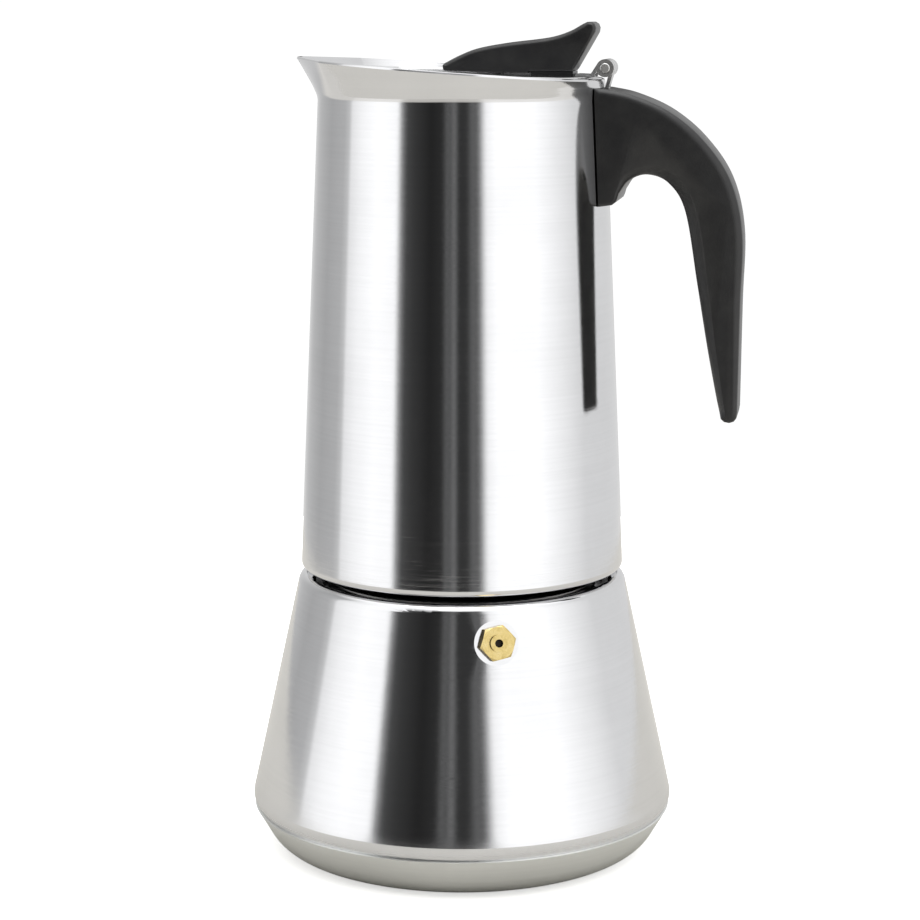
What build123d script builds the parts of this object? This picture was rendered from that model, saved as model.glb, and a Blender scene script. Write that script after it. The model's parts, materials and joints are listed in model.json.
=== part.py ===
from build123d import *

import math
import os

# Stovetop moka pot, millimetres. Origin at the centre of the base, +Z up, handle along +X, spout along -X.

# Boiler, the lower vessel
BASE_FLAT_R = 41.7
BASE_CORNER = (46.5, 1.8)
BELLY_CORNER = (52.5, 11.9)
SHOULDER_R = 39.97
SHOULDER_Z = 69.1
SHEET = 0.8
CAP_SHEET = 0.5
CAP_TOP_Z = 10.7
CORE_THICKNESS = 4.5
BASE_GROOVE_R = 30.0
GROOVE_WIDTH = 1.2
GROOVE_DEPTH = 0.2
NECK_R = 33.0
NECK_TOP_Z = 82.0

# Screw thread between boiler and vessel; its ridges stop short of each other so that a straight lift clears
THREAD_LEAD = 3.0
THREAD_TURNS = 2.0
RIDGE_DEPTH = 0.75
RIDGE_ROOT = 0.15
RIDGE_FOOT = 1.9
RIDGE_TOP = 0.6
MALE_START_Z = 73.0
COLLAR_BORE_R = 34.9
COLLAR_R = 36.1
COLLAR_BOTTOM_Z = 71.2

# Funnel, seal and filter plate
BASKET_R = 31.0
BASKET_DEPTH = 19.0
FUNNEL_SHEET = 0.6
FUNNEL_CONE_DEPTH = 10.0
STEM_R = 4.6
STEM_END_Z = 11.0
SCREEN_SHEET = 0.6
HOLE_R = 0.7
HOLE_PITCH = 3.6
GASKET_R = 33.9
GASKET_BORE_R = 27.0
GASKET_THICKNESS = 2.6
PLATE_R = 33.4
PLATE_DOME = 1.2

# Vessel, the upper pot
LIP_R = 39.61
LIP_Z = 70.6
CREASE_R = 34.55
CREASE_Z = 185.0
RIM_R = 36.4
RIM_CENTRE_X = -2.9
RIM_Z = 191.4
RIM_SLOPE = 0.07
SPOUT_TIP_X = -41.0
SPOUT_HALF_ANGLE = 40.0
FLOOR_R = 37.9
FLOOR_Z = 87.3
COLUMN_BASE_R = 7.5
COLUMN_TOP_R = 4.6
COLUMN_TOP_Z = 158.0
HOOD_SHEET = 0.7
HOOD_DEPTH = 3.5
SLOT_HEIGHT = 6.0
SLOT_WIDTH = 3.0

# Lid, hinge and knob
LID_SHEET = 0.8
LID_Z = 191.0
LID_SLOPE = 0.035
LID_GAP = 2.2
LID_NOSE_X = -32.5
PIN_X = 34.9
PIN_Z = 192.0
PIN_R = 1.2
PIN_FIT = 0.06
KNUCKLE_R = 2.1
LEAF_SHEET = 0.8
HINGE_WIDTH = 11.0
MIDDLE_KNUCKLE = 4.6
KNUCKLE_GAP = 0.3
LEAF_FOOT_X = 27.9
SPACER_FRONT = 17.3
SPACER_BACK = 27.3
KNOB_SEAM_Z = 191.3
KNOB_HALF_WIDTH = 6.5
KNOB_MIDDLE_HALF_WIDTH = 6.0
KNOB_FRONT_HALF_WIDTH = 4.6
SPACER_HALF_WIDTH = 5.0
KNOB_SCREW_XS = (9.0, 22.3)
KNOB_SCREW_REACH = 3.6
KNOB_SCREW_R = 1.4
KNOB_SCREW_HEAD = 1.6

# Handle
FLANGE_HALF_WIDTH = 11.7
GRIP_HALF_WIDTH = 8.0
WALL_GAP = 0.3
HANDLE_BEVEL = 0.8
POCKET_HALF_WIDTH = 7.0
POCKET_FLOOR_Z = 172.6
BRACKET_SHEET = 1.2
HANDLE_SCREW_X = 42.0
SCREW_R = 2.0
SCREW_HEAD_R = 3.4
SCREW_HEAD = 2.2
WASHER_THICKNESS = 0.6
HANDLE_WASHER_R = 3.6
HANDLE_HOLE_R = 3.9
SCREW_SHELF = 2.2

# Safety valve, on an axis square to the boiler wall; ends are heights along it, outwards from the wall
VALVE_AZIMUTH = 20.0
VALVE_Z = 60.5
VALVE_BOSS_R = 5.3
HEX_FLATS = 7.6
HEX_FOOT = 0.1
HEX_HEIGHT = 2.4
HEX_TURN = 12.0
VALVE_COLLAR_R = 2.0
VALVE_COLLAR_END = 3.3
VALVE_BORE_R = 0.95
CHAMBER_R = 1.7
CHAMBER_END = -0.6
STUD_R = 2.5
STUD_END = -6.5
BOSS_END = -1.3
WASHER_R = 4.6
WASHER_END = -2.1
NUT_END = -4.3
SEAT_TOP = -5.3
SEAT_BORE_R = 0.8
VALVE_PIN_R = 0.88
VALVE_PIN_END = 2.2
PIN_HEAD_R = 1.5
PIN_HEAD_TOP = -4.3
SPRING_R = 1.25
SPRING_WIRE_R = 0.16
SPRING_LENGTH = 3.1
SPRING_TURNS = 4.5

CLEAR = 0.05


def in_profile(sketch):
    """Stands a sketch of (radius, height) up in the XZ plane."""
    return Plane.XZ * sketch


def turned(points):
    """A solid of revolution from a closed outline of (radius, height) points."""
    return revolve(in_profile(make_face(Polyline(*points, close=True))), Axis.Z)


def pressed(points, radii, thickness, side=Side.LEFT):
    """Sheet metal turned about Z: an open outline with rounded corners, given a thickness."""
    line = FilletPolyline(*points, radius=radii)
    outline = offset(line, amount=thickness, side=side)
    return revolve(in_profile(make_face(outline.edges())), Axis.Z)


def tube(radius, bore, low, high):
    """A ring about Z."""
    return Pos(0, 0, (low + high) / 2) * (
        Cylinder(radius, high - low) - Cylinder(bore, high - low)
    )


def disc(radius, low, high):
    """A round slab about Z."""
    return Pos(0, 0, (low + high) / 2) * Cylinder(radius, high - low)


def wall_radius(z):
    """Outer radius of the boiler's cone at a height."""
    share = (z - BELLY_CORNER[1]) / (SHOULDER_Z - BELLY_CORNER[1])
    return BELLY_CORNER[0] + share * (SHOULDER_R - BELLY_CORNER[0])


def vessel_radius(z):
    """Outer radius of the vessel's cone at a height."""
    share = (z - LIP_Z) / (CREASE_Z - LIP_Z)
    return LIP_R + share * (CREASE_R - LIP_R)


def ridge(radius, start_z, turns, outward):
    """A helical thread ridge, rounded over, that stands on a wall of the given radius."""
    helix = Pos(0, 0, start_z) * Helix(THREAD_LEAD, THREAD_LEAD * turns, radius)
    root = radius - RIDGE_ROOT * outward
    crest = radius + RIDGE_DEPTH * outward
    section = Polyline(
        (root, start_z - RIDGE_FOOT / 2),
        (crest, start_z - RIDGE_TOP / 2),
        (crest, start_z + RIDGE_TOP / 2),
        (root, start_z + RIDGE_FOOT / 2),
        close=True,
    )
    return sweep(in_profile(make_face(section)), path=helix, is_frenet=True)


# ---- boiler ----

def bevel_radius(z):
    """Radius of the bevel under the belly, at a height."""
    share = (z - BASE_CORNER[1]) / (BELLY_CORNER[1] - BASE_CORNER[1])
    return BASE_CORNER[0] + share * (BELLY_CORNER[0] - BASE_CORNER[0])


def boiler_corner():
    """Where the boiler's cone meets its own bevel, one cap thickness inside the cap."""
    bevel = math.atan2(BELLY_CORNER[1] - BASE_CORNER[1], BELLY_CORNER[0] - BASE_CORNER[0])
    inset = CAP_SHEET + CLEAR / 2
    cone = (SHOULDER_R - BELLY_CORNER[0]) / (SHOULDER_Z - BELLY_CORNER[1])
    rise = inset / (math.cos(bevel) - cone * math.sin(bevel))
    return BELLY_CORNER[0] + cone * rise, BELLY_CORNER[1] + rise


def boiler_shell():
    """Deep-drawn water vessel: floor, belly, cone, shoulder and a neck with a rolled thread."""
    floor_z = CAP_SHEET + CORE_THICKNESS
    bevel = math.atan2(BELLY_CORNER[1] - BASE_CORNER[1], BELLY_CORNER[0] - BASE_CORNER[0])
    inset = (CAP_SHEET + CLEAR / 2) / math.sin(bevel)
    outline = [
        (0, floor_z),
        (bevel_radius(floor_z) - inset, floor_z),
        boiler_corner(),
        (SHOULDER_R, SHOULDER_Z),
        (NECK_R, SHOULDER_Z),
        (NECK_R, NECK_TOP_Z),
    ]
    shell = pressed(outline, [4, 4, 2.5, 1.2], SHEET)
    shell += ridge(NECK_R, MALE_START_Z, THREAD_TURNS, 1)
    boss = valve_axis() * disc(VALVE_BOSS_R, BOSS_END, HEX_FOOT)
    hole = valve_axis() * disc(STUD_R + CLEAR, 2 * BOSS_END, -2 * BOSS_END)
    return shell + boss - hole


def base_core():
    """Aluminium disc that spreads the heat, between the shell and the cap."""
    low = CAP_SHEET + CLEAR
    high = CAP_SHEET + CORE_THICKNESS - CLEAR
    return turned(
        [
            (0, low),
            (BASE_FLAT_R - 0.7, low),
            (BASE_CORNER[0] - 2.5, BASE_CORNER[1] + 0.1),
            (BASE_CORNER[0] - 0.1, high),
            (0, high),
        ]
    )


def base_cap():
    """Thin outer cap that wraps the heat-spreading core and the foot of the boiler."""
    outer = [
        (0, 0),
        (BASE_FLAT_R, 0),
        BASE_CORNER,
        (bevel_radius(CAP_TOP_Z), CAP_TOP_Z),
    ]
    cap = pressed(outer, [3, 10], CAP_SHEET)
    half = GROOVE_WIDTH / 2
    groove = tube(BASE_GROOVE_R + half, BASE_GROOVE_R - half, -GROOVE_DEPTH, GROOVE_DEPTH)
    return cap - groove


# ---- safety valve ----

def valve_axis():
    """The plane of the boiler wall at the valve, its normal pointing outwards."""
    azimuth = math.radians(VALVE_AZIMUTH)
    slope = math.atan2(BELLY_CORNER[0] - SHOULDER_R, SHOULDER_Z - BELLY_CORNER[1])
    out = Vector(math.sin(azimuth), -math.cos(azimuth), 0)
    along = Vector(math.cos(azimuth), math.sin(azimuth), 0)
    origin = out * wall_radius(VALVE_Z) + Vector(0, 0, VALVE_Z)
    normal = out * math.cos(slope) + Vector(0, 0, math.sin(slope))
    return Plane(origin=origin, x_dir=along, z_dir=normal)


def hexagon(flats, low, high):
    """A hexagonal prism with its outer corners turned down to thirty degrees."""
    prism = Pos(0, 0, low) * extrude(
        Rot(0, 0, HEX_TURN) * RegularPolygon(flats / 2, 6, major_radius=False), high - low
    )
    points = flats / math.sqrt(3)
    crown = turned([(0, low), (points, low), (points, high - 0.5), (flats / 2, high), (0, high)])
    return prism & crown


def valve_body():
    """Brass fitting: hexagon and collar outside the wall, threaded stud through it."""
    body = hexagon(HEX_FLATS, HEX_FOOT, HEX_FOOT + HEX_HEIGHT)
    body += disc(VALVE_COLLAR_R, HEX_FOOT, VALVE_COLLAR_END)
    body += disc(STUD_R, STUD_END, 2 * HEX_FOOT)
    body -= disc(VALVE_BORE_R, 2 * CHAMBER_END, VALVE_COLLAR_END + 1)
    body -= disc(CHAMBER_R, STUD_END - 1, CHAMBER_END)
    return valve_axis() * body


def valve_washer():
    """Seal between the wall's boss and the back nut."""
    return valve_axis() * tube(WASHER_R, STUD_R + CLEAR, WASHER_END, BOSS_END)


def valve_nut():
    """Back nut on the stud, inside the boiler."""
    nut = hexagon(HEX_FLATS, NUT_END, WASHER_END) - disc(STUD_R + CLEAR, NUT_END - 1, WASHER_END + 1)
    return valve_axis() * nut


def valve_seat():
    """Ring in the inner end of the stud that the valve pin closes."""
    return valve_axis() * tube(CHAMBER_R - CLEAR, SEAT_BORE_R, STUD_END, SEAT_TOP)


def valve_pin():
    """Steel pin: its head covers the seat, its stem shows in the collar."""
    head = disc(PIN_HEAD_R, SEAT_TOP, PIN_HEAD_TOP)
    stem = disc(VALVE_PIN_R, PIN_HEAD_TOP - 0.1, VALVE_PIN_END)
    return valve_axis() * (head + stem)


def valve_spring():
    """Coil spring round the stem, from the pin's head to the chamber's end."""
    foot = PIN_HEAD_TOP + SPRING_WIRE_R + 0.03
    helix = Pos(0, 0, foot) * Helix(SPRING_LENGTH / SPRING_TURNS, SPRING_LENGTH, SPRING_R)
    start = Plane(origin=helix @ 0, z_dir=helix % 0)
    return valve_axis() * sweep(start * Circle(SPRING_WIRE_R), path=helix, is_frenet=True)


# ---- funnel, seal and filter ----

def funnel_basket():
    """Coffee basket with a flange on the neck's rim and a cone down to the stem."""
    floor_z = NECK_TOP_Z - BASKET_DEPTH
    outline = [
        (STEM_R + 0.3, floor_z - FUNNEL_CONE_DEPTH),
        (BASKET_R - 3, floor_z),
        (BASKET_R, floor_z),
        (BASKET_R, NECK_TOP_Z),
        (NECK_R, NECK_TOP_Z),
    ]
    return pressed(outline, [1.0, 1.0, 0.8], FUNNEL_SHEET)


def funnel_stem():
    """Tube from the funnel's cone down to just above the boiler's floor."""
    top = NECK_TOP_Z - BASKET_DEPTH - FUNNEL_CONE_DEPTH + 1.2
    return tube(STEM_R, STEM_R - FUNNEL_SHEET, STEM_END_Z, top)


def pierced(plate, radius, low, high):
    """A plate with a triangular grid of small round holes inside a radius."""
    row_step = HOLE_PITCH * math.sqrt(3) / 2
    rows = int(radius / row_step)
    holes = []
    for row in range(-rows, rows + 1):
        shift = HOLE_PITCH / 2 if row % 2 else 0
        for column in range(-rows - 2, rows + 3):
            x = column * HOLE_PITCH + shift
            y = row * row_step
            if math.hypot(x, y) <= radius:
                holes.append(Pos(x, y, 0) * disc(HOLE_R, low, high))
    return plate - holes


def funnel_screen():
    """Perforated floor of the coffee basket."""
    low = NECK_TOP_Z - BASKET_DEPTH + FUNNEL_SHEET
    plate = disc(BASKET_R - FUNNEL_SHEET - 0.5, low, low + SCREEN_SHEET)
    return pierced(plate, BASKET_R - 5, low - 1, low + 2)


def gasket():
    """Silicone ring between the funnel's flange and the filter plate."""
    low = NECK_TOP_Z + FUNNEL_SHEET
    ring = tube(GASKET_R, GASKET_BORE_R, low, low + GASKET_THICKNESS)
    return fillet(ring.edges().filter_by(GeomType.CIRCLE), 0.5)


def filter_plate():
    """Perforated plate with a raised middle, on top of the gasket."""
    low = NECK_TOP_Z + FUNNEL_SHEET + GASKET_THICKNESS
    outline = [(0, low + PLATE_DOME), (24, low + PLATE_DOME), (26.5, low), (PLATE_R, low)]
    plate = pressed(outline, [1.0, 1.0], 0.5)
    return pierced(plate, 22.5, low - 1, low + 4)


# ---- vessel ----

def lip():
    """Vessel wall: a cone from the rolled-in lower lip up to the crease."""
    beyond = CREASE_Z + 2
    outline = [(LIP_R - 2.4, LIP_Z), (LIP_R, LIP_Z), (vessel_radius(beyond), beyond)]
    return pressed(outline, 1.3, SHEET) & disc(2 * LIP_R, 0, CREASE_Z)


def spout_outline(radius, tip_x, tip_round):
    """Closed outline of rim or lid: a circle with two straight flats that meet at the spout."""
    angle = math.radians(180 - SPOUT_HALF_ANGLE)
    corner = Vector(RIM_CENTRE_X + radius * math.cos(angle), radius * math.sin(angle))
    mirrored = Vector(corner.X, -corner.Y)
    back = Vector(RIM_CENTRE_X + radius, 0)
    nose = FilletPolyline(mirrored, (tip_x, 0), corner, radius=tip_round)
    return [ThreePointArc(corner, back, mirrored)] + list(nose.edges())


def on_circle(radius, degrees):
    """A point of a circle about the origin."""
    return Vector(radius * math.cos(math.radians(degrees)), radius * math.sin(math.radians(degrees)))


def crease_outline(radius):
    """A circle cut into the same four stretches as the rim above it."""
    stops = [180 - SPOUT_HALF_ANGLE, -180 + SPOUT_HALF_ANGLE, -176, -184, -180 - SPOUT_HALF_ANGLE]
    middles = [0, -160, -180, -200]
    arcs = []
    for start, middle, end in zip(stops, middles, stops[1:]):
        arcs.append(
            ThreePointArc(on_circle(radius, start), on_circle(radius, middle), on_circle(radius, end))
        )
    return arcs


def tilted(height, slope):
    """A plane that rises towards the spout."""
    return Plane(origin=(0, 0, height), x_dir=(1, 0, -slope), z_dir=(slope, 0, 1))


def flare(inset):
    """Solid between the crease and the tilted rim, drawn in by the sheet thickness."""
    low = Pos(0, 0, CREASE_Z) * make_face(crease_outline(CREASE_R - inset))
    high = tilted(RIM_Z, RIM_SLOPE) * make_face(
        spout_outline(RIM_R - inset, SPOUT_TIP_X + 1.2 * inset, 2.5)
    )
    return loft([low, high], ruled=True)


def vessel_shell():
    """Upper pot: wall, rolled lip and flared rim with its spout."""
    return lip() + (flare(0) - flare(SHEET))


def vessel_floor():
    """Bottom of the coffee space, welded to the wall, with a hole for the column."""
    low = FLOOR_Z
    outline = [
        (COLUMN_BASE_R - 1.3, low),
        (FLOOR_R - SHEET, low),
        (FLOOR_R - SHEET, low - 4),
    ]
    return pressed(outline, 0.9, SHEET)


def threaded_collar():
    """Ring under the floor with the inner thread."""
    ring = tube(COLLAR_R, COLLAR_BORE_R, COLLAR_BOTTOM_Z, FLOOR_Z)
    return ring + ridge(COLLAR_BORE_R, MALE_START_Z + THREAD_LEAD / 2, THREAD_TURNS, -1)


def coffee_column():
    """Tapered riser with a weld flange and two outlet slots near its top."""
    foot = COLUMN_BASE_R - 1.5
    top = COLUMN_TOP_Z - SHEET
    floor_top = FLOOR_Z + SHEET
    outside = [
        (foot, FLOOR_Z + 0.1),
        (foot, floor_top),
        (COLUMN_BASE_R + 1.5, floor_top),
        (COLUMN_BASE_R + 1.5, floor_top + SHEET),
        (foot + 0.8, floor_top + SHEET),
        (foot, floor_top + 2.5),
        (COLUMN_TOP_R, top),
    ]
    inside = [(COLUMN_TOP_R - SHEET, top), (foot - SHEET, FLOOR_Z + 0.1)]
    column = turned(outside + inside)
    slot = Pos(0, 0, top - 7) * Box(SLOT_WIDTH, 3 * COLUMN_TOP_R, SLOT_HEIGHT)
    return column - slot


def column_cap():
    """Small pressed hood that closes the column and turns the coffee down."""
    bore = COLUMN_TOP_R + CLEAR
    outside = bore + HOOD_SHEET
    return turned(
        [
            (0, COLUMN_TOP_Z - SHEET),
            (bore, COLUMN_TOP_Z - SHEET),
            (bore + 0.12, COLUMN_TOP_Z - HOOD_DEPTH),
            (outside, COLUMN_TOP_Z - HOOD_DEPTH),
            (outside, COLUMN_TOP_Z - SHEET),
            (outside - 1.3, COLUMN_TOP_Z),
            (0, COLUMN_TOP_Z + 0.5),
        ]
    )


# ---- hinge ----

def across(outline, low_y, high_y):
    """A side-view outline of (x, z) points, or its edges, given a width along Y."""
    face = in_profile(make_face(outline))
    return Pos(0, high_y, 0) * extrude(face, high_y - low_y)


def knuckle(low_y, high_y):
    """One rolled barrel of the hinge, around the pin."""
    barrel = Pos(PIN_X, (low_y + high_y) / 2, PIN_Z) * Rot(90, 0, 0) * (
        Cylinder(KNUCKLE_R, high_y - low_y) - Cylinder(PIN_R + PIN_FIT, high_y - low_y)
    )
    return barrel


def pin_room():
    """The space that the hinge pin needs."""
    return Pos(PIN_X, 0, PIN_Z) * Rot(90, 0, 0) * Cylinder(PIN_R + PIN_FIT, 2 * HINGE_WIDTH)


def wall_strip(half_width, low, high, thickness):
    """A strip that hugs the outside of the vessel wall on the handle side."""
    strip = turned(
        [
            (vessel_radius(low) + CLEAR, low),
            (vessel_radius(low) + CLEAR + thickness, low),
            (vessel_radius(high) + CLEAR + thickness, high),
            (vessel_radius(high) + CLEAR, high),
        ]
    )
    return strip & Pos(40, 0, (low + high) / 2) * Box(80, 2 * half_width, high - low)


def hinge_bracket():
    """Fixed leaf, welded high on the wall, that ends in the middle knuckle."""
    half = MIDDLE_KNUCKLE / 2
    leaf = wall_strip(half, 179, 184.5, LEAF_SHEET)
    root = vessel_radius(183) + CLEAR
    neck = Polyline(
        (root, 183.6),
        (root + LEAF_SHEET, 183.6),
        (root + LEAF_SHEET, 187.4),
        (PIN_X + 1.6, PIN_Z - 1.2),
        (PIN_X + 0.5, PIN_Z - 1.7),
        (root, 187.6),
        close=True,
    )
    return leaf + across(neck, -half, half) + knuckle(-half, half) - pin_room()


def hinge_pin():
    """Plain pin through the three knuckles."""
    pin = Cylinder(PIN_R, HINGE_WIDTH + 0.8)
    pin = fillet(pin.edges(), 0.3)
    return Pos(PIN_X, 0, PIN_Z) * Rot(90, 0, 0) * pin


def lid_leaf():
    """Moving leaf: a foot welded to the lid, a slope and the two outer knuckles."""
    half = HINGE_WIDTH / 2
    inner = MIDDLE_KNUCKLE / 2 + KNUCKLE_GAP
    slope = Polyline(
        (31.1, lid_top(31.1) + CLEAR),
        (32.1, lid_top(32.1) + CLEAR),
        (PIN_X - 1.1, PIN_Z + 0.7),
        (PIN_X - 1.75, PIN_Z + 1.15),
        close=True,
    )
    foot = Polyline(
        (LEAF_FOOT_X, lid_top(LEAF_FOOT_X) + 0.01),
        (32.1, lid_top(32.1) + 0.01),
        (31.9, lid_top(31.9) + 0.6),
        (LEAF_FOOT_X, lid_top(LEAF_FOOT_X) + 0.6),
        close=True,
    )
    leaf = across(foot, -half, half)
    for low, high in ((-half, -inner), (inner, half)):
        leaf += across(slope, low, high) + knuckle(low, high)
    return leaf - pin_room()


# ---- lid and knob ----

def lid_top(x):
    """Height of the sloping lid's top face."""
    return LID_Z - LID_SLOPE * x


def lid_plate():
    """Flat lid that lies inside the rim and follows the spout."""
    outline = make_face(spout_outline(RIM_R - LID_GAP, LID_NOSE_X, 6))
    plate = extrude(outline, -LID_SHEET)
    plate = fillet(plate.edges().filter_by(Plane.XY), 0.3)
    holes = [Pos(x, 0, 0) * Cylinder(1.6, 4) for x in KNOB_SCREW_XS]
    return tilted(LID_Z, LID_SLOPE) * (plate - holes)


def knob():
    """Moulded thumb horn: low at the front, rising to a rounded tip over the hinge."""
    step_x = SPACER_FRONT - 0.6
    front = -4.0
    top = Spline((front + 0.2, 193.1), (4.6, 196.6), (11.8, 197.9), (21.4, 199.1), (28.6, 201.7),
                 (30.4, 202.8))
    tip = ThreePointArc(top @ 1, (32.3, 202.5), (32.7, 200.7))
    under = Polyline(tip @ 1, (SPACER_BACK + 0.1, KNOB_SEAM_Z), (step_x, KNOB_SEAM_Z),
                     (step_x, lid_top(step_x) + 0.15), (front, lid_top(front) + 0.15),
                     (front, 192.6), top @ 0)
    body = across([top, tip, under], -KNOB_HALF_WIDTH, KNOB_HALF_WIDTH)
    plan = make_face(
        Polyline((-6, -KNOB_FRONT_HALF_WIDTH), (18, -KNOB_MIDDLE_HALF_WIDTH), (36, -KNOB_HALF_WIDTH),
                 (36, KNOB_HALF_WIDTH), (18, KNOB_MIDDLE_HALF_WIDTH), (-6, KNOB_FRONT_HALF_WIDTH),
                 close=True)
    )
    body = body & Pos(0, 0, 180) * extrude(plan, 40)
    for x in KNOB_SCREW_XS:
        body -= Pos(x, 0, 0) * disc(1.45, 180, KNOB_SEAM_Z + KNOB_SCREW_REACH + 0.3)
    return body


def knob_spacer():
    """Heat-resisting pad between the lid and the back of the knob."""
    outline = Polyline(
        (SPACER_FRONT, lid_top(SPACER_FRONT) + 0.01),
        (SPACER_BACK, lid_top(SPACER_BACK) + 0.01),
        (SPACER_BACK, KNOB_SEAM_Z - 0.05),
        (SPACER_FRONT, KNOB_SEAM_Z - 0.05),
        close=True,
    )
    pad = across(outline, -SPACER_HALF_WIDTH, SPACER_HALF_WIDTH)
    return pad - Pos(KNOB_SCREW_XS[1], 0, 0) * disc(1.6, 180, 200)


def knob_screws():
    """Two pan-head screws up through the lid."""
    screws = []
    for x in KNOB_SCREW_XS:
        under = lid_top(x) - LID_SHEET - 0.1
        low = under - KNOB_SCREW_HEAD
        shank = disc(KNOB_SCREW_R, under - 0.1, KNOB_SEAM_Z + KNOB_SCREW_REACH)
        head = disc(2 * KNOB_SCREW_R, low, under) - Pos(0, 0, low) * Box(0.7, 8, 1.2)
        screws.append(Pos(x, 0, 0) * (shank + head))
    return screws


# ---- handle ----

def handle_side():
    """Side outline of the handle: flange, finger arch and drooping grip."""
    outer = Spline(
        (34.9, 187.45), (41.8, 185.9), (50.4, 182.1), (58.4, 175.5), (64.9, 166.1), (67.9, 153.5),
        (67.7, 136.0), (67.5, 111.0)
    )
    end = ThreePointArc(outer @ 1, (65.6, 108.4), (63.4, 109.4))
    inner = Spline(
        end @ 1, (62.2, 115.3), (59.9, 127.2), (57.4, 141.8), (54.4, 158.6), (50.4, 165.3),
        (45.4, 167.35), (40.9, 165.95), (38.3, 162.6)
    )
    lug = Polyline(inner @ 1, (37.3, 160.8), (36.0, 160.0), (20, 159.6), (20, 187.45), outer @ 0)
    return [outer, end, inner, lug]


def handle_plan():
    """Plan outline: wide at the flange, narrowing to the grip."""
    return make_face(
        Polyline((20, -FLANGE_HALF_WIDTH - 1), (70, -GRIP_HALF_WIDTH),
                 (70, GRIP_HALF_WIDTH), (20, FLANGE_HALF_WIDTH + 1), close=True)
    )


def wall_core(gap):
    """The space of the vessel and a gap around it, above the finger arch."""
    return turned(
        [
            (0, 150),
            (vessel_radius(150) + gap, 150),
            (CREASE_R + gap, CREASE_Z),
            (CREASE_R + gap, 200),
            (0, 200),
        ]
    )


def handle():
    """Moulded handle with a pocket for the brackets and a screw hole from the finger arch."""
    body = across(handle_side(), -FLANGE_HALF_WIDTH - 1, FLANGE_HALF_WIDTH + 1)
    body = body & Pos(0, 0, 100) * extrude(handle_plan(), 100)
    sides = body.faces().filter_by(lambda face: abs(face.normal_at().Y) > 0.9)
    body = chamfer(sides.edges().filter_by(lambda edge: edge.center().X > 37), HANDLE_BEVEL)
    body -= wall_core(WALL_GAP)
    strips = wall_core(BRACKET_SHEET + WALL_GAP)
    body -= strips & Pos(35, 0, 178) * Box(20, 2 * POCKET_HALF_WIDTH, 24)
    body -= Pos(40, 0, POCKET_FLOOR_Z + 4) * Box(14, 2 * POCKET_HALF_WIDTH - 2, 8)
    at_screw = Pos(HANDLE_SCREW_X, 0, 0)
    body -= at_screw * disc(SCREW_R + 0.2, 160, 182)
    body -= at_screw * disc(HANDLE_HOLE_R, 150, POCKET_FLOOR_Z - SCREW_SHELF)
    return body


def handle_bracket():
    """Steel strip welded to the wall, with a tab that takes the handle screw."""
    strip = wall_strip(6, 167, 178.6, BRACKET_SHEET)
    tab_low = POCKET_FLOOR_Z + CLEAR
    tab = Pos(40.5, 0, tab_low + BRACKET_SHEET / 2) * Box(12, 10, BRACKET_SHEET)
    tab -= wall_core(CLEAR)
    return strip + tab - Pos(HANDLE_SCREW_X, 0, 0) * disc(SCREW_R + 0.1, 160, 180)


def bracket_nut():
    """Nut that lies on the bracket's tab."""
    low = POCKET_FLOOR_Z + BRACKET_SHEET + CLEAR
    nut = hexagon(7.0, low, low + 3.2) - disc(SCREW_R + CLEAR, 160, 190)
    return Pos(HANDLE_SCREW_X, 0, 0) * nut


def handle_washer():
    """Washer against the handle's shelf, under the screw's head."""
    high = POCKET_FLOOR_Z - SCREW_SHELF
    ring = tube(HANDLE_WASHER_R, SCREW_R + 0.1, high - WASHER_THICKNESS, high)
    return Pos(HANDLE_SCREW_X, 0, 0) * ring


def handle_screw():
    """Cross-headed screw, driven upwards from the finger arch."""
    under = POCKET_FLOOR_Z - SCREW_SHELF - WASHER_THICKNESS
    screw = disc(SCREW_R, under - 0.5, under + 10)
    screw += disc(SCREW_HEAD_R, under - SCREW_HEAD, under)
    for turn in (0, 90):
        screw -= Pos(0, 0, under - SCREW_HEAD) * Rot(0, 0, turn) * Box(0.8, 3.6, 2.4)
    return Pos(HANDLE_SCREW_X, 0, 0) * screw


PARTS = [
    boiler_shell, base_core, base_cap, valve_body, valve_washer, valve_nut, valve_seat, valve_pin,
    valve_spring, funnel_basket, funnel_stem, funnel_screen, gasket, filter_plate, vessel_shell,
    vessel_floor, threaded_collar, coffee_column, column_cap, hinge_bracket, hinge_pin, lid_leaf,
    lid_plate, knob, knob_spacer, knob_screws, handle, handle_bracket, bracket_nut, handle_washer,
    handle_screw,
]

if __name__ == "__main__":
    os.makedirs("parts", exist_ok=True)
    for part in PARTS:
        solids = part()
        if isinstance(solids, list):
            solids = Compound(children=solids)
        export_step(solids, f"parts/{part.__name__}.step")
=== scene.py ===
import json
import math

import bpy
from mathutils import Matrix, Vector

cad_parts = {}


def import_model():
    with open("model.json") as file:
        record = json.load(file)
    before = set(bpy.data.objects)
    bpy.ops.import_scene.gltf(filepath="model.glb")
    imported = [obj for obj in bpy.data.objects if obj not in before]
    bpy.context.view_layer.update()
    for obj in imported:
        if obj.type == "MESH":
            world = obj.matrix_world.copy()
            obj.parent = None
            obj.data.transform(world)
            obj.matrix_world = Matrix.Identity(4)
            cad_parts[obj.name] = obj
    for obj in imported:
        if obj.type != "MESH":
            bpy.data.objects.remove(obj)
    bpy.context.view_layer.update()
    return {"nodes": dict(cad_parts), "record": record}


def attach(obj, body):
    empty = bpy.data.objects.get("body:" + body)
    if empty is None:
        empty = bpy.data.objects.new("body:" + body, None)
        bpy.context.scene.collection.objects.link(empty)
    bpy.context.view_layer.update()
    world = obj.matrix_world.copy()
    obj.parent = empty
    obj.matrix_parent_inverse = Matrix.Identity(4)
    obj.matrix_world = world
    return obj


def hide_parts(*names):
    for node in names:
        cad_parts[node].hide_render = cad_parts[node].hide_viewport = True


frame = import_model()

MM = 0.001

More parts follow.
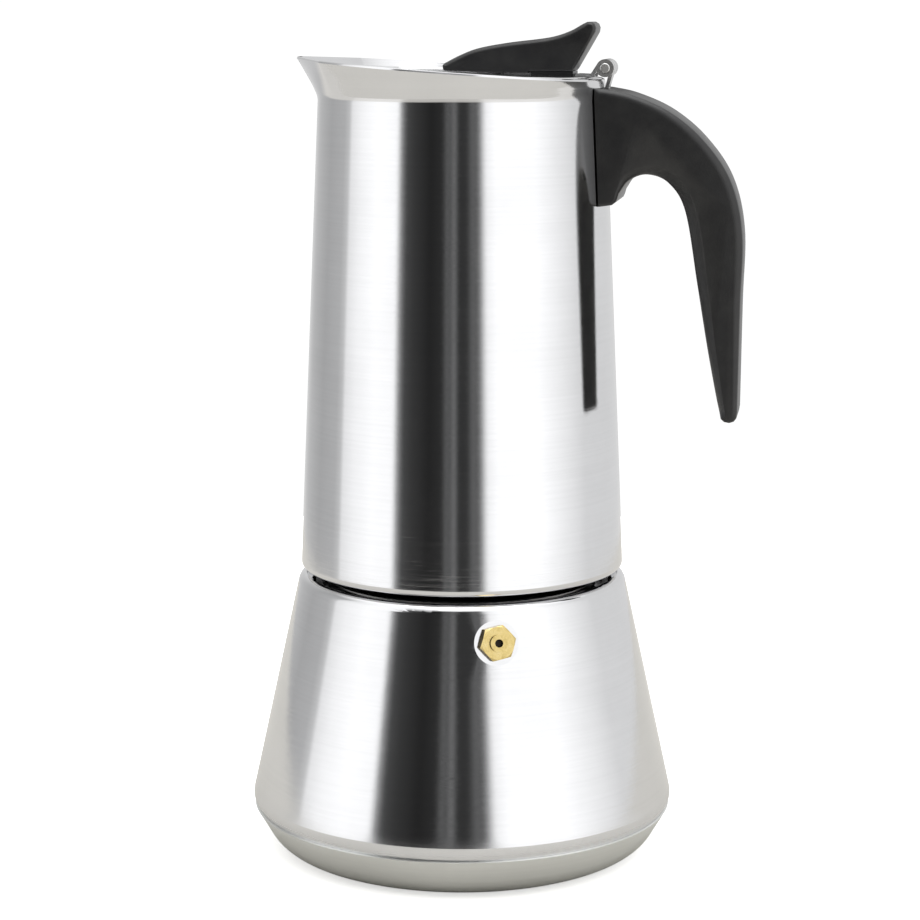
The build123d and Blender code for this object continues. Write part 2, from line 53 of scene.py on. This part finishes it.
# Vessel, in millimetres
SHEET = 0.8
LIP_R, LIP_Z = 39.61, 70.6
LIP_ROUND = 1.4
LIP_ROLL = 2.4
# How far the control points of the lip's curves stand out of its outer face and in from its inner face
LIP_OUTER_PULL, LIP_INNER_PULL = 0.02, 0.1
CREASE_R, CREASE_Z = 34.55, 185.0
CREASE_ROUND = 0.9
RIM_R, RIM_CENTRE_X = 36.4, -2.2
RIM_Z, RIM_SLOPE = 191.4, 0.07
# Extra reach of the rim at 45 degrees either side of the handle
RIM_SWELL = 1.2
SPOUT_TIP_X = -41.0
SPOUT_NOSE = 3.0
SPOUT_HALF_ANGLE = math.radians(40)
WALL_COLUMNS = 288
# Shares of the way along a straight stretch, close together at its ends to keep it flat there
WALL_STEPS = (0.004, 0.02, 0.25, 0.5, 0.75, 0.98, 0.996, 1.0)
FLARE_STEPS = (0.06, 0.5, 0.94)

# Handle and knob, in millimetres
WALL_GAP = 0.3
FLANGE_X, FLANGE_LOW, FLANGE_TOP = 34.0, 159.8, 187.3
FLANGE_HALF_WIDTH, GRIP_HALF_WIDTH = 11.5, 7.9
GRIP_END_Z, GRIP_FULL_Z = 108, 148
KNOB_FRONT_X, KNOB_BACK_X = -4.0, 33.0
KNOB_FRONT_HALF_WIDTH, KNOB_BACK_HALF_WIDTH = 4.4, 6.3
KNOB_LID_GAP = 0.15
LID_Z, LID_SLOPE = 191.0, 0.035
BEVEL_STEPS = 5

# Camera, in metres
CAMERA_AZIMUTH = math.radians(9)
CAMERA_PITCH = math.radians(9.96)
CAMERA_DISTANCE = 0.611
CAMERA_HEIGHT = 0.2038
CAMERA_LENS = 98.65
CAMERA_SHIFT_X = -0.0022

# Studio
TABLE_R = 0.42
FLOOR_GLOW = 0.55
PANEL_STRENGTH = 1.4
# Z of a unit direction where the fades to white overhead and to pale ground start and end
OVERHEAD_FADE = (0.62, 0.80)
GROUND_FADE = (-0.17, -0.23)
GROUND_SHARE = 0.7
GROUND_COLOUR = (0.66, 0.64, 0.60)
BACKDROP_COLOUR = (0.74, 0.74, 0.74)
# Bearings go round the pot in degrees: 0 is towards the camera, and positive is to its right.
# The overhead light, in degrees, metres and watts, aims at the middle of the pot.
LIGHT_BEARING, LIGHT_ELEVATION = 20, 78
LIGHT_DISTANCE, LIGHT_SIZE, LIGHT_POWER = 1.3, 1.2, 9
LIGHT_AIM = Vector((0, 0, 0.11))
# Brightness of the surround by bearing
PANELS = [
    # grey surround behind the pot, with a thin dark gap
    (-180, 0.05), (-174, 0.08), (-171, 0.54), (-150, 0.42), (-125, 0.35), (-105, 0.40), (-99, 0.50),
    # large white panel on the left
    (-96, 0.74), (-85, 0.88), (-68, 1.00), (-51, 0.95), (-48, 0.28),
    # dark gap towards the camera, with thin paler stripes
    (-44, 0.06), (-37, 0.035), (-24, 0.016), (-14, 0.025), (-11, 0.12), (-9, 0.04), (-6, 0.17),
    (-3, 0.03), (4, 0.03), (8, 0.12), (11, 0.07), (14, 0.24),
    # large white panel on the right, which falls off towards the back
    (18, 0.85), (26, 1.00), (58, 1.00), (80, 0.80), (100, 0.63), (171, 0.54), (174, 0.08), (180, 0.05),
]


# ---- small helpers ----

def mix(a, b, share):
    return a + (b - a) * share


def clamp(value):
    return min(1, max(0, value))


def bezier(a, b, c, steps):
    """Points along a curve from a to c that bends towards b, without its first point."""
    shares = [step / steps for step in range(1, steps + 1)]
    return [mix(mix(a, b, share), mix(b, c, share), share) for share in shares]


def smooth_through(stops, steps):
    """A smooth curve through 2-D points, with a number of steps between neighbours."""
    stops = [Vector(stop) for stop in stops]
    ends = [2 * stops[0] - stops[1]] + stops + [2 * stops[-1] - stops[-2]]
    points = []
    for index in range(1, len(ends) - 2):
        before, start, end, after = ends[index - 1 : index + 3]
        for step in range(steps):
            t = step / steps
            first = (end - before) * t
            second = (2 * before - 5 * start + 4 * end - after) * t * t
            third = (3 * start - 3 * end + after - before) * t ** 3
            points.append(0.5 * (2 * start + first + second + third))
    points.append(stops[-1])
    return points


def mesh_object(name, points, faces, body, node, finish, smooth_angle):
    """A mesh from millimetre points that takes the place of a CAD node on a body."""
    mesh = bpy.data.meshes.new(name)
    mesh.from_pydata([Vector(p) * MM for p in points], [], faces)
    mesh.validate()
    mesh.update()
    piece = bpy.data.objects.new(name, mesh)
    bpy.context.scene.collection.objects.link(piece)
    bpy.context.view_layer.objects.active = piece
    piece.select_set(True)
    bpy.ops.object.mode_set(mode="EDIT")
    bpy.ops.mesh.select_all(action="SELECT")
    bpy.ops.mesh.normals_make_consistent(inside=False)
    bpy.ops.object.mode_set(mode="OBJECT")
    bpy.ops.object.shade_smooth_by_angle(angle=math.radians(smooth_angle))
    piece.select_set(False)
    mesh.materials.append(FINISHES[finish])
    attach(piece, body)
    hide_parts(node)


def grid_faces(rows, columns, close_rows=False):
    """Quads between rings of points; each ring closes on itself."""
    faces = []
    for row in range(rows if close_rows else rows - 1):
        below = row * columns
        above = (row + 1) % rows * columns
        for column in range(columns):
            after = (column + 1) % columns
            faces.append((below + column, below + after, above + after, above + column))
    return faces


# ---- vessel shell ----

def rim_plan(radius, tip_x, turn):
    """Point of the rim's outline, seen from above: a circle and two flats that meet at the spout."""
    corner = math.pi - SPOUT_HALF_ANGLE
    if abs(turn) <= corner:
        swell = RIM_SWELL * math.sin(2 * turn) ** 2 if math.cos(turn) > 0 else 0
        reach = radius + swell
        return Vector((RIM_CENTRE_X + reach * math.cos(turn), reach * math.sin(turn)))
    side = 1 if turn > 0 else -1
    start = Vector((RIM_CENTRE_X + radius * math.cos(corner), side * radius * math.sin(corner)))
    tip = Vector((tip_x, 0))
    flat = start.lerp(tip, (abs(turn) - corner) / SPOUT_HALF_ANGLE)
    nearness = clamp(1 - (tip - flat).length / SPOUT_NOSE)
    return flat + Vector((0.25 * SPOUT_NOSE * nearness ** 2, 0))


def vessel_column(turn):
    """One upright line of points: up the outside from the lower lip, over the rim, down inside."""
    def wall(radius, z):
        return Vector((radius * math.cos(turn), radius * math.sin(turn), z))

    def skin(inset):
        """The lip's top, the crease with a point either side, and the rim, of one face."""
        crease = wall(CREASE_R - inset, CREASE_Z)
        plan = rim_plan(RIM_R - inset, SPOUT_TIP_X + 1.2 * inset, turn)
        rim = Vector((plan.x, plan.y, RIM_Z - RIM_SLOPE * plan.x))
        low = wall(LIP_R - inset, LIP_Z + LIP_ROUND)
        near_wall = crease + (low - crease).normalized() * CREASE_ROUND
        near_flare = crease + (rim - crease).normalized() * CREASE_ROUND
        return low, near_wall, crease, near_flare, rim

    low, near_wall, crease, near_flare, rim = skin(0)
    low_in, near_wall_in, crease_in, near_flare_in, rim_in = skin(SHEET)
    middle = (rim + rim_in) / 2
    shoulder = Vector((0, 0, 0.21))
    crown = Vector((0, 0, 0.35))
    foot = Vector((0, 0, -0.14))

    column = bezier(wall(LIP_R - LIP_ROLL, LIP_Z), wall(LIP_R + LIP_OUTER_PULL, LIP_Z), low, 6)
    column += [low.lerp(near_wall, share) for share in WALL_STEPS]
    column += bezier(near_wall, crease, near_flare, 6)
    column += [near_flare.lerp(rim, share) for share in FLARE_STEPS]
    column += [rim + foot, rim.lerp(middle, 0.35) + shoulder, middle + crown]
    column += [rim_in.lerp(middle, 0.35) + shoulder, rim_in + foot]
    column += [rim_in.lerp(near_flare_in, share) for share in FLARE_STEPS]
    column += [near_flare_in] + bezier(near_flare_in, crease_in, near_wall_in, 6)
    column += [near_wall_in.lerp(low_in, share) for share in WALL_STEPS]
    turn_in = wall(LIP_R - SHEET - LIP_INNER_PULL, LIP_Z + SHEET)
    column += bezier(low_in, turn_in, wall(LIP_R - LIP_ROLL, LIP_Z + SHEET), 3)
    return column


def vessel_shell():
    """Upper pot with a rolled lower lip, a soft crease and the flared, spouted rim."""
    columns = []
    for index in range(WALL_COLUMNS):
        columns.append(vessel_column(-math.pi + 2 * math.pi * index / WALL_COLUMNS))
    height = len(columns[0])
    points = [column[level] for level in range(height) for column in columns]
    faces = grid_faces(height, WALL_COLUMNS, close_rows=True)
    mesh_object("vessel_shell_skin", points, faces, "vessel", "vessel_shell", "polished_steel", 30)


# ---- handle and knob ----

def side_slab(name, outline, bevels, half_width, body, node, bend=None):
    """A moulded piece: a side outline with a width that varies along X and softened side edges.

    bevels gives, for each outline point, how far the bevel reaches in from the edge, how deep it
    goes and how round it is, from 0 for a flat chamfer to 1. bend may move a finished point.
    """
    count = len(outline)
    inward = []
    area = 0
    for index in range(count):
        along = outline[(index + 1) % count] - outline[index - 1]
        inward.append(Vector((-along.y, along.x)).normalized())
        area += outline[index - 1].x * outline[index].y - outline[index].x * outline[index - 1].y
    turn = 1 if area > 0 else -1

    def ring(side, level):
        """The outline at one level of the bevel, on one side."""
        share = level / BEVEL_STEPS
        angle = math.pi / 2 * share
        places = []
        for point, normal, (reach, depth, roundness) in zip(outline, inward, bevels):
            inset = reach * mix(1 - share, 1 - math.sin(angle), roundness)
            drop = depth * mix(share, 1 - math.cos(angle), roundness)
            flat = point + normal * turn * inset
            place = Vector((flat.x, side * (half_width(flat.x) - drop), flat.y))
            places.append(bend(place, point) if bend else place)
        return places

    rings = [ring(-1, level) for level in range(BEVEL_STEPS + 1)]
    rings += [ring(1, level) for level in range(BEVEL_STEPS, -1, -1)]
    points = [place for places in rings for place in places]
    faces = grid_faces(len(rings), count)
    faces.append(tuple(range(count)))
    faces.append(tuple(reversed(range(len(points) - count, len(points)))))
    mesh_object(name, points, faces, body, node, "black_bakelite", 40)


def handle():
    """Moulded handle whose flange hugs the wall, with a finger arch and a drooping grip."""
    outer = smooth_through(
        [(35.0, 187.4), (41.8, 185.9), (50.4, 182.1), (58.4, 175.5), (64.9, 166.1), (67.9, 153.5),
         (67.7, 136.0), (67.5, 111.0)], 10)
    end = smooth_through(
        [(67.3, 109.6), (66.7, 108.8), (65.6, 108.45), (64.4, 108.7), (63.6, 109.4)], 1)
    inner = smooth_through(
        [(63.2, 110.8), (62.2, 115.3), (59.9, 127.2), (57.4, 141.8), (54.4, 158.6), (50.4, 165.3),
         (45.4, 167.35), (41.2, 165.95), (38.9, 162.9)], 10)
    lug = smooth_through([(38.6, 161.8), (38.2, 160.9), (37.3, 160.2), (FLANGE_X, FLANGE_LOW)], 1)
    heights = [mix(FLANGE_LOW, FLANGE_TOP, step / 12) for step in range(1, 13)]
    flange = [Vector((FLANGE_X, z)) for z in heights]

    def fullness(point):
        """0 at the grip's end, 1 from where it has its full thickness."""
        return clamp((point.y - GRIP_END_Z) / (GRIP_FULL_Z - GRIP_END_Z))

    bevels = [(mix(1.1, 2.0, fullness(point)), 1.3, 1) for point in outer]
    bevels += [(1.1, 1.1, 1)] * len(end)
    for index, point in enumerate(inner):
        fade = clamp((index / len(inner) - 0.65) / 0.35)
        reach = mix(1.4, 3.0, fullness(point))
        bevels.append((mix(reach, 0.8, fade), mix(2.6, 0.8, fade), mix(0.2, 1, fade)))
    bevels += [(0.8, 0.8, 1)] * len(lug) + [(0.4, 0.4, 1)] * len(flange)

    def half_width(x):
        return mix(FLANGE_HALF_WIDTH, GRIP_HALF_WIDTH, clamp((x - 30) / 38))

    def hug(place, point):
        """Puts the flange's points on the wall's curve."""
        if point.x > 35.2 or point.y < FLANGE_LOW - 1:
            return place
        share = clamp((place.z - LIP_Z) / (CREASE_Z - LIP_Z))
        radius = mix(LIP_R, CREASE_R, share) + WALL_GAP
        x = math.sqrt(radius ** 2 - place.y ** 2)
        return Vector((x + (point.x - FLANGE_X), place.y, place.z))

    outline = outer + end + inner + lug + flange
    side_slab("handle_moulding", outline, bevels, half_width, "vessel", "handle", hug)


def knob():
    """Thumb horn: low nose, rounded tip and a straight rear face."""
    def above_lid(x):
        """Height just clear of the sloping lid."""
        return LID_Z - LID_SLOPE * x + KNOB_LID_GAP

    top = smooth_through(
        [(-3.8, 193.0), (0.2, 195.0), (4.6, 196.6), (11.8, 197.9), (21.4, 199.1), (26.2, 200.5),
         (29.6, 202.3)], 8)
    tip = smooth_through([(30.6, 202.75), (31.6, 202.8), (32.4, 202.3), (32.75, 201.4), (32.6, 200.4)], 1)
    rear = [tip[-1].lerp(Vector((27.7, 191.9)), step / 6) for step in range(1, 7)]
    under = smooth_through(
        [(27.2, 191.35), (20, 191.32), (16.8, 191.32), (16.6, 190.7), (9, above_lid(9)),
         (0, above_lid(0)), (-3.6, above_lid(KNOB_FRONT_X)), (KNOB_FRONT_X, 191.7), (-4.05, 192.5)], 1)
    bevels = [(1.1, 1.6, 1)] * len(top) + [(0.9, 1.3, 1)] * len(tip) + [(0.6, 0.9, 1)] * len(rear)
    bevels += [(0.3, 0.4, 1)] * len(under)

    def half_width(x):
        share = clamp((x - KNOB_FRONT_X) / (KNOB_BACK_X - KNOB_FRONT_X))
        return mix(KNOB_FRONT_HALF_WIDTH, KNOB_BACK_HALF_WIDTH, share)

    side_slab("knob_moulding", top + tip + rear + under, bevels, half_width, "lid", "knob")


# ---- materials ----

# The part of a noise's range that its values mostly fill
NOISE_RANGE = (0.25, 0.75)
# Heights in metres between which the boiler's polish fades to satin
SATIN_FADE = (0.017, 0.012)


class Shader:
    """A small builder for node materials on object coordinates."""

    def __init__(self, name):
        self.material = bpy.data.materials.new(name)
        self.material.use_nodes = True
        self.tree = self.material.node_tree
        self.base = self.tree.nodes["Principled BSDF"]
        self.place = self.add("ShaderNodeTexCoord").outputs["Object"]

    def add(self, kind, **settings):
        node = self.tree.nodes.new(kind)
        for key, value in settings.items():
            setattr(node, key, value)
        return node

    def link(self, source, target):
        self.tree.links.new(source, target)

    def stretched(self, scale):
        node = self.add("ShaderNodeMapping")
        node.inputs["Scale"].default_value = scale
        self.link(self.place, node.inputs["Vector"])
        return node.outputs["Vector"]

    def noise(self, scale, detail, roughness=0.5, vector=None):
        node = self.add("ShaderNodeTexNoise")
        node.inputs["Scale"].default_value = scale
        node.inputs["Detail"].default_value = detail
        node.inputs["Roughness"].default_value = roughness
        self.link(vector or self.place, node.inputs["Vector"])
        return node.outputs["Fac"]

    def colour_between(self, value, stops):
        """Turns a value into a colour, with (position, colour) stops."""
        node = self.add("ShaderNodeValToRGB")
        elements = node.color_ramp.elements
        while len(elements) < len(stops):
            elements.new(0.5)
        for element, (position, colour) in zip(elements, stops):
            element.position = position
            element.color = (*colour, 1)
        self.link(value, node.inputs["Fac"])
        return node.outputs["Color"]

    def spread(self, value, value_range, result_range):
        """Maps one range of values onto another."""
        node = self.add("ShaderNodeMapRange")
        node.inputs["From Min"].default_value, node.inputs["From Max"].default_value = value_range
        node.inputs["To Min"].default_value, node.inputs["To Max"].default_value = result_range
        self.link(value, node.inputs["Value"])
        return node.outputs["Result"]

    def plus(self, first, second, weight):
        """The first value and a share of the second."""
        node = self.add("ShaderNodeMath", operation="MULTIPLY_ADD")
        self.link(second, node.inputs[0])
        node.inputs[1].default_value = weight
        self.link(first, node.inputs[2])
        return node.outputs["Value"]

    def height(self):
        split = self.add("ShaderNodeSeparateXYZ")
        self.link(self.place, split.inputs["Vector"])
        return split.outputs["Z"]

    def bump(self, height, strength, distance):
        node = self.add("ShaderNodeBump")
        node.inputs["Strength"].default_value = strength
        node.inputs["Distance"].default_value = distance
        self.link(height, node.inputs["Height"])
        self.link(node.outputs["Normal"], self.base.inputs["Normal"])

    def colour(self, value):
        self.link(value, self.base.inputs["Base Color"])

    def rough(self, value):
        self.link(value, self.base.inputs["Roughness"])

    def fix(self, socket, value):
        """Sets a shader socket that is the same all over."""
        self.base.inputs[socket].default_value = value


def steel(name, tint, rough_range, line_strength, satin_foot=False):
    """Stainless steel with fine lines round the pot, faint smudges and wear.

    With satin_foot the polish fades to satin over the last millimetres above the base cap.
    """
    shader = Shader(name)
    lines = shader.noise(1.0, 3.0, 0.7, shader.stretched((30, 30, 9000)))
    coarse = shader.noise(1.0, 2.0, 0.6, shader.stretched((12, 12, 1600)))
    smudge = shader.noise(38.0, 5.0, 0.6)
    dark = tuple(channel * 0.92 for channel in tint)
    tone = shader.plus(smudge, coarse, 0.45)
    rough = shader.spread(shader.plus(smudge, lines, 0.35), NOISE_RANGE, rough_range)
    if satin_foot:
        foot = shader.spread(shader.height(), SATIN_FADE, (0, 1))
        rough = shader.plus(rough, foot, 0.22)
    shader.fix("Metallic", 1.0)
    shader.colour(shader.colour_between(tone, [(0.45, dark), (0.95, tint)]))
    shader.rough(rough)
    shader.bump(shader.plus(lines, coarse, 0.8), line_strength, 0.00002)
    return shader.material


def plate_steel(name, tint, rough_range):
    """Flat sheet or small turned parts, with a fine straight grain."""
    shader = Shader(name)
    grain = shader.noise(1.0, 3.0, 0.7, shader.stretched((6000, 80, 80)))
    smudge = shader.noise(60.0, 4.0, 0.6)
    dark = tuple(channel * 0.92 for channel in tint)
    shader.fix("Metallic", 1.0)
    shader.colour(shader.colour_between(smudge, [(0.3, dark), (0.7, tint)]))
    shader.rough(shader.spread(shader.plus(smudge, grain, 0.4), NOISE_RANGE, rough_range))
    shader.bump(grain, 0.12, 0.00002)
    return shader.material


def brass():
    """Turned brass with a little tarnish in patches."""
    shader = Shader("turned_brass")
    tarnish = shader.noise(420.0, 5.0, 0.65)
    turning = shader.noise(3000.0, 2.0)
    stops = [(0.25, (0.42, 0.31, 0.10)), (0.5, (0.70, 0.55, 0.23)), (0.8, (0.84, 0.70, 0.36))]
    shader.fix("Metallic", 1.0)
    shader.colour(shader.colour_between(tarnish, stops))
    shader.rough(shader.spread(tarnish, NOISE_RANGE, (0.16, 0.3)))
    shader.bump(turning, 0.25, 0.00004)
    return shader.material


def bakelite():
    """Black phenolic moulding: fine satin texture, slight mottling and rubbed patches."""
    shader = Shader("black_bakelite")
    mottle = shader.noise(220.0, 6.0, 0.6)
    grain = shader.noise(2600.0, 3.0, 0.6)
    rub = shader.noise(45.0, 3.0)
    stops = [(0.3, (0.009, 0.009, 0.010)), (0.7, (0.018, 0.018, 0.018))]
    shader.colour(shader.colour_between(mottle, stops))
    shader.rough(shader.spread(rub, NOISE_RANGE, (0.30, 0.42)))
    shader.bump(shader.plus(grain, mottle, 0.6), 0.35, 0.00006)
    return shader.material


def silicone():
    """Off-white silicone rubber."""
    shader = Shader("white_silicone")
    mottle = shader.noise(160.0, 4.0, 0.6)
    grain = shader.noise(1800.0, 3.0, 0.6)
    stops = [(0.3, (0.70, 0.69, 0.65)), (0.7, (0.80, 0.79, 0.76))]
    shader.colour(shader.colour_between(mottle, stops))
    shader.rough(shader.spread(mottle, NOISE_RANGE, (0.55, 0.7)))
    shader.bump(grain, 0.3, 0.00005)
    return shader.material


def dress():
    """Gives every CAD object its slot's finish; the valve's pin gets near-black steel, a painted shade for
    the dark hole it sits in.
    """
    slots = {row["node"]: row["material_slot"] for row in frame["record"]["subparts"]}
    for node, piece in frame["nodes"].items():
        # the valve's pin is painted near-black: painted shade for the inside of the valve's hole
        finish = "painted_shade_steel" if node == "valve_pin" else slots[node]
        piece.data.materials.clear()
        piece.data.materials.append(FINISHES[finish])


# ---- studio ----

class Surround:
    """A small builder for the world's nodes."""

    def __init__(self):
        world = bpy.data.worlds.new("studio")
        world.use_nodes = True
        bpy.context.scene.world = world
        self.nodes = world.node_tree.nodes
        self.links = world.node_tree.links

    def bearing_and_height(self):
        """A direction's bearing, as a share of a full turn from behind the pot, and its height."""
        place = self.nodes.new("ShaderNodeTexCoord")
        facing = self.nodes.new("ShaderNodeVectorRotate")
        facing.rotation_type = "Z_AXIS"
        facing.inputs["Angle"].default_value = -CAMERA_AZIMUTH
        self.links.new(place.outputs["Generated"], facing.inputs["Vector"])
        split = self.nodes.new("ShaderNodeSeparateXYZ")
        self.links.new(facing.outputs["Vector"], split.inputs["Vector"])
        forward = self.nodes.new("ShaderNodeMath")
        forward.operation = "MULTIPLY"
        forward.inputs[1].default_value = -1
        self.links.new(split.outputs["Y"], forward.inputs[0])
        angle = self.nodes.new("ShaderNodeMath")
        angle.operation = "ARCTAN2"
        self.links.new(split.outputs["X"], angle.inputs[0])
        self.links.new(forward.outputs["Value"], angle.inputs[1])
        share = self.spread(angle.outputs["Value"], (-math.pi, math.pi), (0, 1))
        return share, split.outputs["Z"]

    def spread(self, value, value_range, result_range):
        node = self.nodes.new("ShaderNodeMapRange")
        node.inputs["From Min"].default_value, node.inputs["From Max"].default_value = value_range
        node.inputs["To Min"].default_value, node.inputs["To Max"].default_value = result_range
        self.links.new(value, node.inputs["Value"])
        return node.outputs["Result"]

    def ring_of_panels(self, share):
        """Brightness by bearing."""
        node = self.nodes.new("ShaderNodeValToRGB")
        elements = node.color_ramp.elements
        while len(elements) < len(PANELS):
            elements.new(0.5)
        for element, (bearing, brightness) in zip(elements, PANELS):
            element.position = (bearing + 180) / 360
            element.color = (brightness, brightness, brightness, 1)
        self.links.new(share, node.inputs["Fac"])
        return node.outputs["Color"]

    def cover(self, under, colour, factor):
        """Lays a colour over another by a factor."""
        node = self.nodes.new("ShaderNodeMix")
        node.data_type = "RGBA"
        node.inputs["B"].default_value = (*colour, 1)
        self.links.new(factor, node.inputs["Factor"])
        self.links.new(under, node.inputs["A"])
        return node.outputs["Result"]


def world():
    """Soft surround: white panels and dark gaps, white overhead, pale ground, white backdrop."""
    surround = Surround()
    share, height = surround.bearing_and_height()
    overhead = surround.spread(height, OVERHEAD_FADE, (0, 1))
    ground = surround.spread(height, GROUND_FADE, (0, GROUND_SHARE))
    colour = surround.ring_of_panels(share)
    colour = surround.cover(colour, (1.0, 1.0, 1.0), overhead)
    colour = surround.cover(colour, GROUND_COLOUR, ground)
    seen = surround.nodes.new("ShaderNodeLightPath").outputs["Is Camera Ray"]
    colour = surround.cover(colour, BACKDROP_COLOUR, seen)
    background = surround.nodes["Background"]
    background.inputs["Strength"].default_value = PANEL_STRENGTH
    surround.links.new(colour, background.inputs["Color"])


def floor():
    """Plain pale table top; it shows whiter to the camera than in the steel."""
    bpy.ops.mesh.primitive_circle_add(vertices=128, radius=TABLE_R, fill_type="NGON")
    table = bpy.context.object
    table.name = "floor"
    shader = Shader("pale_floor")
    tone = shader.noise(2.0, 2.0)
    grey = shader.colour_between(tone, [(0.3, (0.53, 0.515, 0.48)), (0.7, (0.55, 0.535, 0.50))])
    seen = shader.add("ShaderNodeLightPath").outputs["Is Camera Ray"]
    both = shader.add("ShaderNodeMix", data_type="RGBA")
    both.inputs["B"].default_value = (0.93, 0.93, 0.92, 1)
    shader.link(seen, both.inputs["Factor"])
    shader.link(grey, both.inputs["A"])
    shader.colour(both.outputs["Result"])
    glow = shader.add("ShaderNodeMath", operation="MULTIPLY")
    glow.inputs[1].default_value = FLOOR_GLOW
    shader.link(seen, glow.inputs[0])
    shader.link(glow.outputs["Value"], shader.base.inputs["Emission Strength"])
    shader.fix("Emission Color", (1, 1, 0.99, 1))
    shader.fix("Roughness", 0.9)
    table.data.materials.append(shader.material)


def overhead_light():
    """A soft light above, which the camera doesn't see, aimed at the middle of the pot."""
    data = bpy.data.lights.new("overhead", "AREA")
    data.shape = "SQUARE"
    data.size = LIGHT_SIZE
    data.energy = LIGHT_POWER
    light = bpy.data.objects.new("overhead", data)
    bearing = math.radians(LIGHT_BEARING) + CAMERA_AZIMUTH
    lift = math.radians(LIGHT_ELEVATION)
    away = Vector((math.sin(bearing) * math.cos(lift), -math.cos(bearing) * math.cos(lift), math.sin(lift)))
    light.location = LIGHT_AIM + away * LIGHT_DISTANCE
    light.rotation_euler = away.to_track_quat("Z", "Y").to_euler()
    light.visible_camera = False
    bpy.context.scene.collection.objects.link(light)


def camera():
    """Looks down a little at the front, from slightly towards the handle."""
    data = bpy.data.cameras.new("camera")
    data.lens = CAMERA_LENS
    data.sensor_width = 36
    data.shift_x = CAMERA_SHIFT_X
    data.clip_start = 0.01
    view = bpy.data.objects.new("camera", data)
    view.location = (CAMERA_DISTANCE * math.sin(CAMERA_AZIMUTH),
                     -CAMERA_DISTANCE * math.cos(CAMERA_AZIMUTH), CAMERA_HEIGHT)
    view.rotation_euler = (math.pi / 2 - CAMERA_PITCH, 0, CAMERA_AZIMUTH)
    bpy.context.scene.collection.objects.link(view)
    bpy.context.scene.camera = view


# ---- the scene ----

FINISHES = {
    "polished_steel": steel("polished_steel", (0.75, 0.753, 0.765), (0.03, 0.07), 0.25, satin_foot=True),
    "base_steel": steel("satin_base_steel", (0.80, 0.81, 0.79), (0.24, 0.34), 0.30),
    "lid_steel": plate_steel("lid_steel", (0.74, 0.74, 0.74), (0.07, 0.13)),
    "core_aluminium": plate_steel("core_aluminium", (0.75, 0.75, 0.76), (0.3, 0.4)),
    "inner_steel": steel("inner_steel", (0.72, 0.72, 0.72), (0.24, 0.36), 0.22),
    "perforated_steel": plate_steel("perforated_steel", (0.64, 0.64, 0.64), (0.2, 0.3)),
    "hardware_steel": plate_steel("hardware_steel", (0.70, 0.70, 0.69), (0.28, 0.40)),
    # near-black steel for the valve's pin: painted shade standing in for the shade inside the valve's hole
    "painted_shade_steel": plate_steel("painted_shade_steel", (0.05, 0.045, 0.04), (0.45, 0.6)),
    "valve_brass": brass(),
    "silicone": silicone(),
    "black_bakelite": bakelite(),
}

camera()
world()
floor()
dress()
vessel_shell()
handle()
knob()
overhead_light()
bpy.context.scene.view_settings.view_transform = "Standard"
